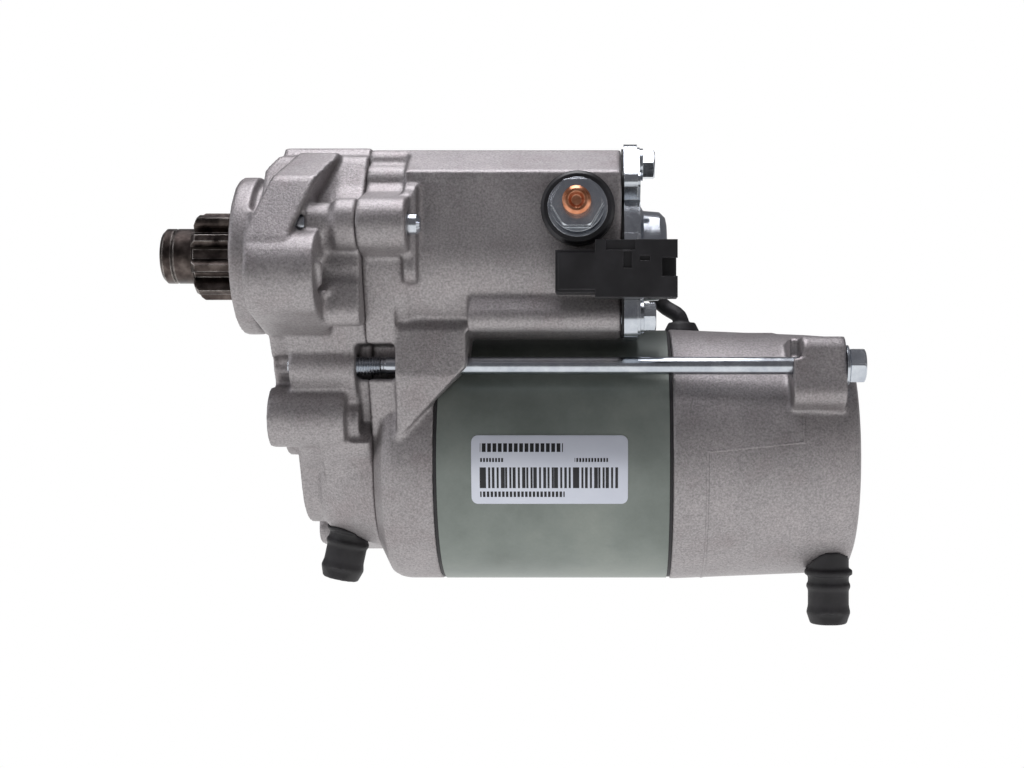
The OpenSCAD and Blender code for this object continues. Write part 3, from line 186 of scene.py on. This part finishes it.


# Every part's finish is one general surface: a base colour that drifts between a darker and a lighter
# tone, a fine grain that stands in relief, and lighter edges: wear on most finishes, a painted highlight on
# the zinc. Sizes are in millimetres.
def surface(name, base, dark, light, metallic, roughness, patch_mm, grain_mm, grain_height_mm,
            rough_spread=0.08, edge_wear_and_highlight_colour=None, edge_wear_and_highlight_share=0.0, edge_mm=0.35, specks=0.0):
    """A node material for one finish. rough_spread is how far the roughness drifts, specks how far the
    grain lightens and darkens the colour, and the edge colour argument and its share give edges a lighter
    colour: wear on most finishes, a painted highlight on the zinc."""
    material, tree = new_material(name)
    place = add(tree, "TexCoord").outputs["Object"]
    patches = add(tree, "TexNoise", {"Scale": 1 / (patch_mm * MM), "Detail": 5, "Roughness": 0.6},
                  {"Vector": place})
    grain = add(tree, "TexNoise", {"Scale": 1 / (grain_mm * MM), "Detail": 3, "Roughness": 0.7},
                {"Vector": place})
    tone = add(tree, "ValToRGB", links={"Fac": patches.outputs[0]})
    ramp = tone.color_ramp
    ramp.elements[0].position = 0.33
    ramp.elements[0].color = linear(dark)
    ramp.elements[1].position = 0.68
    ramp.elements[1].color = linear(light)
    ramp.elements.new(0.5).color = linear(base)
    speck = add(tree, "MapRange", {"From Min": 0.3, "From Max": 0.7, "To Min": 1 - specks,
                                   "To Max": 1 + specks}, {"Value": grain.outputs[0]})
    colour = add(tree, "Mix", {"data_type": "RGBA", "blend_type": "MULTIPLY", 0: 1.0},
                 {6: tone.outputs[0], 7: speck.outputs[0]}).outputs[2]
    soft = add(tree, "Bevel", {"samples": 4, "Radius": edge_mm * MM})
    # Edges take a lighter colour: real wear on most finishes, a painted highlight on the zinc.
    if edge_wear_and_highlight_colour:
        flat = add(tree, "NewGeometry").outputs["Normal"]
        turn = add(tree, "VectorMath", {"operation": "DOT_PRODUCT"}, {0: soft.outputs[0], 1: flat})
        edge_wear_and_highlight_mask = add(tree, "MapRange", {"From Min": 0.995, "From Max": 0.9, "To Min": 0.0, "To Max": edge_wear_and_highlight_share},
                     {"Value": turn.outputs["Value"]})
        patchy = add(tree, "MapRange", {"From Min": 0.35, "From Max": 0.6},
                     {"Value": patches.outputs[0]})
        edge = add(tree, "Math", {"operation": "MULTIPLY"}, {0: edge_wear_and_highlight_mask.outputs[0], 1: patchy.outputs[0]})
        colour = add(tree, "Mix", {"data_type": "RGBA", 7: linear(edge_wear_and_highlight_colour)},
                     {0: edge.outputs[0], 6: colour}).outputs[2]
    shine = add(tree, "MapRange", {"From Min": 0.3, "From Max": 0.7, "To Min": roughness - rough_spread,
                                   "To Max": roughness + rough_spread}, {"Value": patches.outputs[0]})
    relief = add(tree, "Bump", {"Strength": 1.0, "Distance": grain_height_mm * MM},
                 {"Height": grain.outputs[0], "Normal": soft.outputs[0]})
    body = add(tree, "BsdfPrincipled", {"Metallic": metallic},
               {"Base Color": colour, "Roughness": shine.outputs[0], "Normal": relief.outputs[0]})
    add(tree, "OutputMaterial", links={"Surface": body.outputs[0]})
    return material


def wear_finish(material, *nodes):
    """Give CAD nodes one finish in every slot."""
    for name in nodes:
        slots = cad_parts[name].data.materials
        if len(slots) == 0:
            slots.append(material)
        for k in range(len(slots)):
            slots[k] = material


# Drive housing, switch housing and end frame: die-cast aluminium, shot-blasted to a sandy pale grey that
# hands have greyed in places. Moulds leave every corner rounded, so their surfaces are rebuilt and eased.
def as_cast(node, voxel_mm, rounds):
    """Rebuild a part on a fine grid and ease its corners as a casting's are."""
    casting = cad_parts[node]
    rebuilt = casting.modifiers.new("one_skin", "REMESH")
    rebuilt.mode = "VOXEL"
    rebuilt.voxel_size = voxel_mm * MM
    rebuilt.use_smooth_shade = True
    eased = casting.modifiers.new("mould_radius", "SMOOTH")
    eased.factor = 0.5
    eased.iterations = rounds


cast = surface("die_cast_aluminium_shot_blasted", "#9c9899", "#958f90", "#a49fa0", 0.85, 0.52,
               16, 0.65, 0.12, rough_spread=0.03, specks=0.3)
castings = ("drive_housing", "switch_housing", "end_frame")
for piece in castings:
    as_cast(piece, voxel_mm=0.78, rounds=2)
wear_finish(cast, *castings)

# Yoke: drawn steel tube, powder-primed in a flat grey-green. Handling leaves faint marks round it.
primer = surface("grey_green_primer_on_steel", "#79807b", "#6c736e", "#858b85", 0.35, 0.42,
                 30, 0.9, 0.012, rough_spread=0.06, specks=0.03)
wear_finish(primer, "yoke")


# Mould line on the end frame: where the two halves of the die met, a low ridge runs along the near side
# and steps round the lug. It is part of the casting.
def low_ridge(name, corners, half_width, height):
    """A ridge that follows corners (x, angle up from the near side) over the end frame's slow taper. Its
    section is a lens: across it, the height above the surface is height * (1 - share of half width ** 2)."""
    steps = np.linspace(0, 1, 40)
    path = np.concatenate([np.outer(1 - steps, a) + np.outer(steps, b) for a, b in zip(corners, corners[1:])])
    x, up = path[:, 0], np.radians(path[:, 1])
    radius = yoke_radius + end_lip - (x - end_x) * end_taper
    run = np.gradient(x), np.gradient(up) * radius
    length = np.hypot(*run) + 1e-9
    across_x, across_up = -run[1] / length, run[0] / length
    turn = np.arange(8) * math.pi / 4
    width = half_width * np.cos(turn)[None, :]
    lift = np.where(np.sin(turn) > 0, height, -0.5 * height) * np.abs(np.sin(turn))
    angle = up[:, None] + width * across_up[:, None] / radius[:, None]
    reach = radius[:, None] + lift[None, :]
    grid = np.stack([x[:, None] + width * across_x[:, None], motor_y - reach * np.cos(angle),
                     motor_z + reach * np.sin(angle)], -1)
    return mesh_from_grid(name, grid)


# The end frame stands proud of the yoke by its lip and narrows rearwards by its taper.
end_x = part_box("end_frame")[0].x
end_lip, end_taper = 0.3 * MM, 1.8 / 44
front_x, step_x = end_x + 10.4 * MM, end_x + 39.5 * MM
ridge_corners = np.array([[front_x, -89], [front_x, 3.2], [step_x, 7.5], [step_x, 19]])
mould_line = low_ridge("end_frame_mould_line", ridge_corners, half_width=0.45 * MM, height=0.2 * MM)
mould_line.data.materials.append(cast)
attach(mould_line, "root")

# Zinc-plated steel: cover plate, bolts, screws, nuts and washers, blue-white and bright, with a near-white
# painted highlight on their edges.
zinc = surface("zinc_plated_steel_blue", "#bcc1c8", "#b0b5bd", "#c9cdd3", 1.0, 0.2,
               6, 0.6, 0.003, rough_spread=0.05, edge_wear_and_highlight_colour="#eef0f2", edge_wear_and_highlight_share=0.4, edge_mm=0.25)
wear_finish(zinc, "switch_cover", "cover_bolts", "bolt_washers", "housing_screws", "terminal_nuts",
            "stem_clip", "plunger")


# Through bolts: rolled M6 thread at the front end, a plain shank of the rolling diameter, and a hexagon
# head with turned-off corners that bears on the end frame's lug. They clamp the whole motor together.
BOLT_ANGLE = np.arange(48) * 2 * math.pi / 48


def ring_rows(stations, centre, angle):
    """Rings of a long round piece that lies along X. Each station is (x, radius), where radius is a number
    or one value for each angle: y = centre_y + radius * cos(angle), z = centre_z + radius * sin(angle)."""
    x = np.array([station[0] for station in stations])[:, None] + 0 * angle
    radius = np.stack([station[1] + 0 * angle for station in stations])
    return np.stack([x, centre[0] + radius * np.cos(angle), centre[1] + radius * np.sin(angle)], -1)


def through_bolt(name, corners):
    """Bolt along X inside a box of corners. The thread's radius is a triangle wave of x / pitch less the
    share of a turn. The head's radius is half its width over the cosine of the angle from its flat."""
    centre = (corners[0] + corners[1])[1:] / 2
    tip, end = corners[0][0], corners[1][0]
    crest, root, pitch, shank = 3.0 * MM, 2.42 * MM, 1.0 * MM, 2.65 * MM
    half_head, thread_length, head_height = 5.0 * MM, 29.4 * MM, 5.2 * MM
    thread_end, head = tip + thread_length, end - head_height
    rows = [(tip, 0.6 * root), (tip + 0.2 * MM, root)]
    for x in np.arange(tip + 0.3 * MM, thread_end, pitch / 8):
        wave = np.abs(((x / pitch - BOLT_ANGLE / (2 * math.pi)) % 1) * 2 - 1)
        fade = min(1, (x - tip) / (1.2 * MM), (thread_end - x) / (1.5 * MM))
        rows.append((x, root + (crest - root) * wave * fade))
    rows += [(thread_end + 0.4 * MM, shank), (head - 0.01 * MM, shank)]
    flat = half_head / np.cos(BOLT_ANGLE % (math.pi / 3) - math.pi / 6)
    rows += [(head, flat - 0.5 * MM), (head + 0.4 * MM, flat), (end - 1.0 * MM, flat),
             (end - 0.35 * MM, np.minimum(flat, 5.15 * MM)), (end, 4.5 * MM), (end - 0.3 * MM, 3.6 * MM),
             (end - 0.3 * MM, 1.0 * MM)]
    return mesh_from_grid(name, ring_rows(rows, centre, BOLT_ANGLE))


def place_of(node, keep):
    """Lowest and highest corner of those of a CAD node's points for which keep(points) is true."""
    flat = np.empty(len(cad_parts[node].data.vertices) * 3)
    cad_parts[node].data.vertices.foreach_get("co", flat)
    points = flat.reshape(-1, 3)
    chosen = points[keep(points)]
    return np.array([chosen.min(0), chosen.max(0)])


for name, side in (("through_bolt_near", -1), ("through_bolt_far", 1)):
    bolt = through_bolt(name, place_of("through_bolts", lambda p: (p[:, 1] - motor_y) * side > 0))
    bolt.data.materials.append(zinc)
    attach(bolt, "root")
    if side < 0:
        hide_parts("through_bolts")

# Hardened steel: pinion, its shaft and the gears are dark from heat treatment and oil, bright at the edges.
dark_steel = surface("heat_treated_steel_oiled", "#4a423f", "#2f2a28", "#665d59", 1.0, 0.34,
                     4, 0.35, 0.006, edge_wear_and_highlight_colour="#c9c4bf", edge_wear_and_highlight_share=0.9, edge_mm=0.5)
wear_finish(dark_steel, "pinion_gear", "pinion_shaft", "collars", "snap_ring", "spring_seat", "clutch_inner")
gear_steel = surface("ground_gear_steel", "#8f8b88", "#75716e", "#a8a4a1", 1.0, 0.3,
                     6, 0.4, 0.004, edge_wear_and_highlight_colour="#d8d5d2", edge_wear_and_highlight_share=0.7)
wear_finish(gear_steel, "idler_gear", "clutch_gear", "clutch_plate", "armature_shaft", "idler_pin",
            "steel_ball", "idler_rollers", "clutch_rollers", "bearing_outers", "motor_bearing_inners",
            "motor_bearing_balls", "clutch_bearing_inners", "clutch_bearing_balls", "switch_core")

# Springs: music wire, drawn and coiled cold. The return, plunger, contact, brush and clutch springs all
# sit between two pieces with a little preload.
wire = surface("drawn_spring_wire", "#9a9a98", "#84847f", "#b4b4b0", 1.0, 0.32, 3, 0.3, 0.003)
wear_finish(wire, "clutch_springs", "return_spring", "plunger_spring", "contact_spring", "brush_springs")

# Pole cores and armature core: soft iron, solid and laminated, with a phosphate coat. They carry the
# motor's magnetic field.
iron = surface("soft_iron_phosphated", "#5d5c5b", "#4b4a49", "#706e6c", 0.9, 0.5, 8, 0.5, 0.01)
wear_finish(iron, "pole_cores", "armature_core")

# Contacts, battery stud and commutator bars: machined copper. Windings and coils: copper wire under
# brown-red enamel.
copper = surface("machined_copper", "#cd8a69", "#b3704f", "#e0a686", 1.0, 0.33, 3, 0.4, 0.008,
                 edge_wear_and_highlight_colour="#efc0a0", edge_wear_and_highlight_share=0.6)
wear_finish(copper, "battery_contact", "motor_contact", "moving_contact", "commutator_bars",
            "connector_blade")
enamel = surface("enamelled_copper_wire", "#9c4a22", "#7c3514", "#b9622f", 0.6, 0.28, 5, 0.9, 0.1)
wear_finish(enamel, "field_coils", "armature_windings", "switch_coil")

# Connector and insulators: black glass-filled nylon with a fine spark-eroded texture. The commutator's hub
# is brown phenolic. The bobbin, brush holder and roller cage are plain nylon.
plastic = surface("black_glass_filled_nylon", "#1c1b1e", "#161518", "#252428", 0.0, 0.44,
                  10, 0.5, 0.01, specks=0.06, edge_wear_and_highlight_colour="#55535a", edge_wear_and_highlight_share=0.35)
wear_finish(plastic, "signal_connector", "terminal_base", "contact_bush")
phenolic = surface("brown_phenolic_moulding", "#4a3222", "#3a2618", "#5c4230", 0.0, 0.4, 6, 0.6, 0.01)
wear_finish(phenolic, "commutator_hub")
nylon = surface("natural_nylon_moulding", "#cfc7ae", "#bdb497", "#ddd7c4", 0.0, 0.45, 9, 0.7, 0.008)
wear_finish(nylon, "coil_bobbin", "brush_holder", "roller_cage")

# Drain tubes, seal rings, gasket and the lead's sleeve: black rubber, moulded, with soft corners. The
# brushes are pressed carbon and copper.
rubber = surface("black_epdm_rubber", "#1d1b1e", "#141315", "#2a282b", 0.0, 0.6,
                 7, 0.6, 0.02, specks=0.1)
wear_finish(rubber, "drain_tubes", "seal_rings", "motor_lead", "cover_gasket")
for piece in ("drain_tubes", "motor_lead"):
    as_cast(piece, voxel_mm=0.4, rounds=6)
carbon = surface("pressed_carbon_copper", "#3a3331", "#2c2725", "#4a4240", 0.3, 0.6, 3, 0.4, 0.03)
wear_finish(carbon, "brushes")

# Rating label: satin silver film stuck round the yoke, with plain ruled fields in place of any printing.
# Each field is a block of upright strokes: left, right, top and bottom edge, pitch and width share.
film = surface("satin_silver_label_film", "#cfd3de", "#c8ccd8", "#d6d9e2", 0.35, 0.33, 40, 0.5, 0.001,
               rough_spread=0.02)
label_low, label_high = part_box("label")
tree = film.node_tree
body = tree.nodes["Principled BSDF"]
where = add(tree, "SeparateXYZ", links={0: tree.nodes["Texture Coordinate"].outputs["Object"]})


def ruled_field(left, right, top, bottom, pitch, share):
    """A mask for a field of plain upright strokes: inside its four sides, in mm from the label's top left
    corner, and within the given share of each pitch along X."""
    across = add(tree, "Math", {"operation": "MULTIPLY_ADD", 1: 1 / MM, 2: -label_low.x / MM},
                 {0: where.outputs["X"]}).outputs[0]
    down = add(tree, "Math", {"operation": "MULTIPLY_ADD", 1: -1 / MM, 2: label_high.z / MM},
               {0: where.outputs["Z"]}).outputs[0]
    mask = None
    for value, low, high in ((across, left, right), (down, top, bottom)):
        for operation, limit in (("GREATER_THAN", low), ("LESS_THAN", high)):
            test = add(tree, "Math", {"operation": operation, 1: limit}, {0: value}).outputs[0]
            mask = test if mask is None else add(tree, "Math", {"operation": "MULTIPLY"},
                                                 {0: mask, 1: test}).outputs[0]
    phase = add(tree, "Math", {"operation": "FLOORED_MODULO", 1: pitch}, {0: across}).outputs[0]
    stroke = add(tree, "Math", {"operation": "LESS_THAN", 1: pitch * share}, {0: phase}).outputs[0]
    return add(tree, "Math", {"operation": "MULTIPLY"}, {0: mask, 1: stroke}).outputs[0]


field_sizes = [(2.6, 27.5, 2.4, 5.0, 1.6, 0.72), (2.6, 9.8, 6.8, 8.0, 0.9, 0.65),
               (31, 41, 6.8, 8.0, 0.9, 0.65), (2.4, 44, 9.6, 15.9, 1.27, 0.5),
               (2.4, 44, 9.6, 15.9, 3.1, 0.25), (2.6, 28, 16.9, 18.6, 1.15, 0.66)]
ink = ruled_field(*field_sizes[0])
for field_size in field_sizes[1:]:
    ink = add(tree, "Math", {"operation": "MAXIMUM"}, {0: ink, 1: ruled_field(*field_size)}).outputs[0]
plain = body.inputs["Base Color"].links[0].from_socket
printed = add(tree, "Mix", {"data_type": "RGBA", 7: linear("#232326")}, {0: ink, 6: plain}).outputs[2]
tree.links.new(printed, body.inputs["Base Color"])
wear_finish(film, "label")
